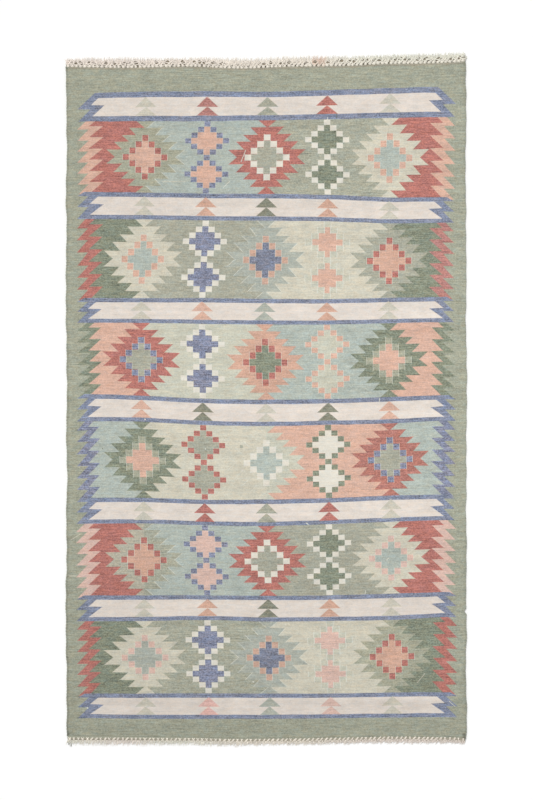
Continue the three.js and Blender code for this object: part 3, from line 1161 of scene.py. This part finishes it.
def layNettedBundle(yarns, at, bundle, look, chance):
    # A wedge-shaped knot grips the last wefts, then its two halves part to the next row of knots.
    knot = look["knot"]
    x, lean, pitch, slant = bundle["x"], bundle["lean"], bundle["pitch"], bundle["slant"]
    bright = bundle["bright"]
    length = knot["length"] * chance.uniform(0.88, 1.08)
    girth = knot["radius"] * chance.uniform(0.82, 1.1)
    yarns.addStrand("knot", at, lambda t: x + lean * (t - 0.35), (knot["root"], length), bright, girth)
    foot = x + lean * 0.65
    for sign in (-1, 1):
        reach = sign * pitch / 2 + 2.5 * slant
        tone = chance.uniform(0.9, 1.0)
        tint = shaded(mixed(bright, tintAt(look, x, chance), 0.5), tone)
        yarns.addStrand("half", at, lambda t: foot + reach * t**1.2, (length * 0.6, length + 4.5), tint)
    if chance.random() < look["bridges"]:
        # A yarn crosses from the foot of this knot to the top of the next.
        sign = chance.choice((-1, 1))
        # Painted shade: the bridge is darkened, as it lies low between the knots.
        tint = shaded(bright, chance.uniform(0.62, 0.95))
        yarns.addStrand("bridge", at, lambda t: x + pitch / 2 + sign * (t - 0.5) * 5, (-0.8, 8.0), tint)
    if bundle["isLast"]:
        return
    second = x + pitch / 2 + between(chance.uniform(-1, 1), 4.5, slant)
    tilt = between(lean * 0.4, 3.5, slant)
    tint = mixed(bright, tintAt(look, second, chance), 0.4)
    yarns.addStrand("secondKnot", at, lambda t: second + tilt * (t - 0.5), (length + 0.5, length + 7.5), tint)


def layCrossedBundle(yarns, at, bundle, look, chance):
    # Two thin plied strands cross over the last wefts, or lean alike, with a gap on each side where the
    # backing's painted shade shows.
    knot = look["knot"]
    x, lean, start = bundle["x"], bundle["lean"], bundle["start"]
    ends = (knot["root"] + start, knot["root"] + start + knot["length"])
    alike = chance.random() < readAt(look["alike"], x)
    for sign, lift in ((-1, 0.0), (1, -0.5)):
        slope = lean * (-1 if alike else sign) * chance.uniform(0.75, 1.1)
        middle = x + (sign * 1.3 if alike else 0) + chance.uniform(-0.8, 0.8)
        tint = shaded(bundle["bright"], chance.uniform(1.0, 1.14))
        girth = knot["radius"] * chance.uniform(0.85, 1.15)
        yarns.addStrand("crossed", at, lambda t: middle + slope * (t - 0.5), ends, tint, girth, (lift, lift))
    # Below the crossing the warps bunch into a short pale tuft.
    strays = {share: chance.uniform(-0.5, 0.5) for share in strandKinds["bunch"]["at"]}
    girth = chance.uniform(1.2, 1.7)
    yarns.addStrand("bunch", at, lambda t: x + strays[t], (start + 5.0, start + 9.2), bundle["bright"], girth)


def layMatStrand(yarns, at, bundle, share, look, chance):
    # A flat strand of several yarns. Side by side these make the closed part of the fringe.
    mat = look["mat"]
    out = (mat["from"] + bundle["start"], bundle["reach"] * chance.uniform(*mat["reach"]))
    root = bundle["x"] + share * bundle["pitch"]
    slant = 5.0 * bundle["slant"] + look["tails"]["lean"] * 0.7
    # Painted shade: the strand beside the gap is darker.
    bright = chance.uniform(0.92, 1.05) - (mat["shade"] if share < -0.2 else 0)
    tint = shaded(tintAt(look, bundle["x"], chance), bright)
    yarns.addStrand("mat", at, lambda t: root + slant * t, out, tint, mat["radius"])


def layTail(yarns, at, bundle, share, look, chance):
    # One loose yarn: it fans out of its bundle, wanders a little and thins to a frayed tip.
    tails = look["tails"]
    root = share * bundle["pitch"] * 0.9
    out = (tails["from"], bundle["reach"] * chance.uniform(*tails["reach"]))
    tip = root + share * tails["spread"] + tails["lean"] + 4.0 * bundle["slant"]
    tip += chance.uniform(-3.5, 3.5) * bundle["room"]
    bow = chance.uniform(-1.1, 1.1)
    low = tails["radius"] * 0.8
    lift = (low + chance.uniform(0.4, 1.6), low)

    def across(t):
        return bundle["x"] + between(root, tip, t**1.3) + bow * math.sin(math.pi * 1.3 * t)

    yarns.addStrand("tail", at, across, out, tintAt(look, bundle["x"], chance), tails["radius"], lift)


warpCotton = {
    # size in mm, detail, roughness, and how much of the tone it makes up
    "fuzz": (1.6, 3.0, 0.65, 0.24),
    "patches": (22, 2.0, 0.5, 0.2),
    "darkest": 0.78,
    "bump": {"Strength": 0.5, "Distance": 0.4 * mm},
    "shader": {"Roughness": 0.95, "Specular IOR Level": 0.2, "Sheen Weight": 0.2, "Sheen Roughness": 0.6},
}
fringeMaterial, tree, shader = newMaterial("loosely_plied_undyed_cotton", warpCotton["shader"])
dyeNode = addNode(tree, "ShaderNodeAttribute", {"attribute_name": "dye"})
coords = addNode(tree, "ShaderNodeTexCoord")
tone = warpCotton["darkest"]
for name in ("patches", "fuzz"):
    size, detail, roughness, share = warpCotton[name]
    pattern = addNode(tree, "ShaderNodeTexNoise", None, {
        "Vector": coords.outputs["Object"], "Scale": 1 / (size * mm),
        "Detail": detail, "Roughness": roughness,
    })
    tone = addNode(tree, "ShaderNodeMath", {"operation": "MULTIPLY_ADD"},
                   {0: pattern.outputs["Fac"], 1: share, 2: tone}).outputs[0]
toned = addNode(tree, "ShaderNodeVectorMath", {"operation": "SCALE"},
                {0: dyeNode.outputs["Color"], "Scale": tone})
bump = addNode(tree, "ShaderNodeBump", None, {"Height": pattern.outputs["Fac"], **warpCotton["bump"]})
tree.links.new(toned.outputs[0], shader.inputs["Base Color"])
tree.links.new(bump.outputs[0], shader.inputs["Normal"])

for end in fringeEnds:
    piece = buildFringe(end)
    piece.data.materials.append(fringeMaterial)
    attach(piece, "root")
    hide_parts(fringeEnds[end]["node"])
    piece.data.calc_loop_triangles()
    print(piece.name, len(piece.data.loop_triangles), "triangles")

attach(cloth, "root")
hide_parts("cloth")
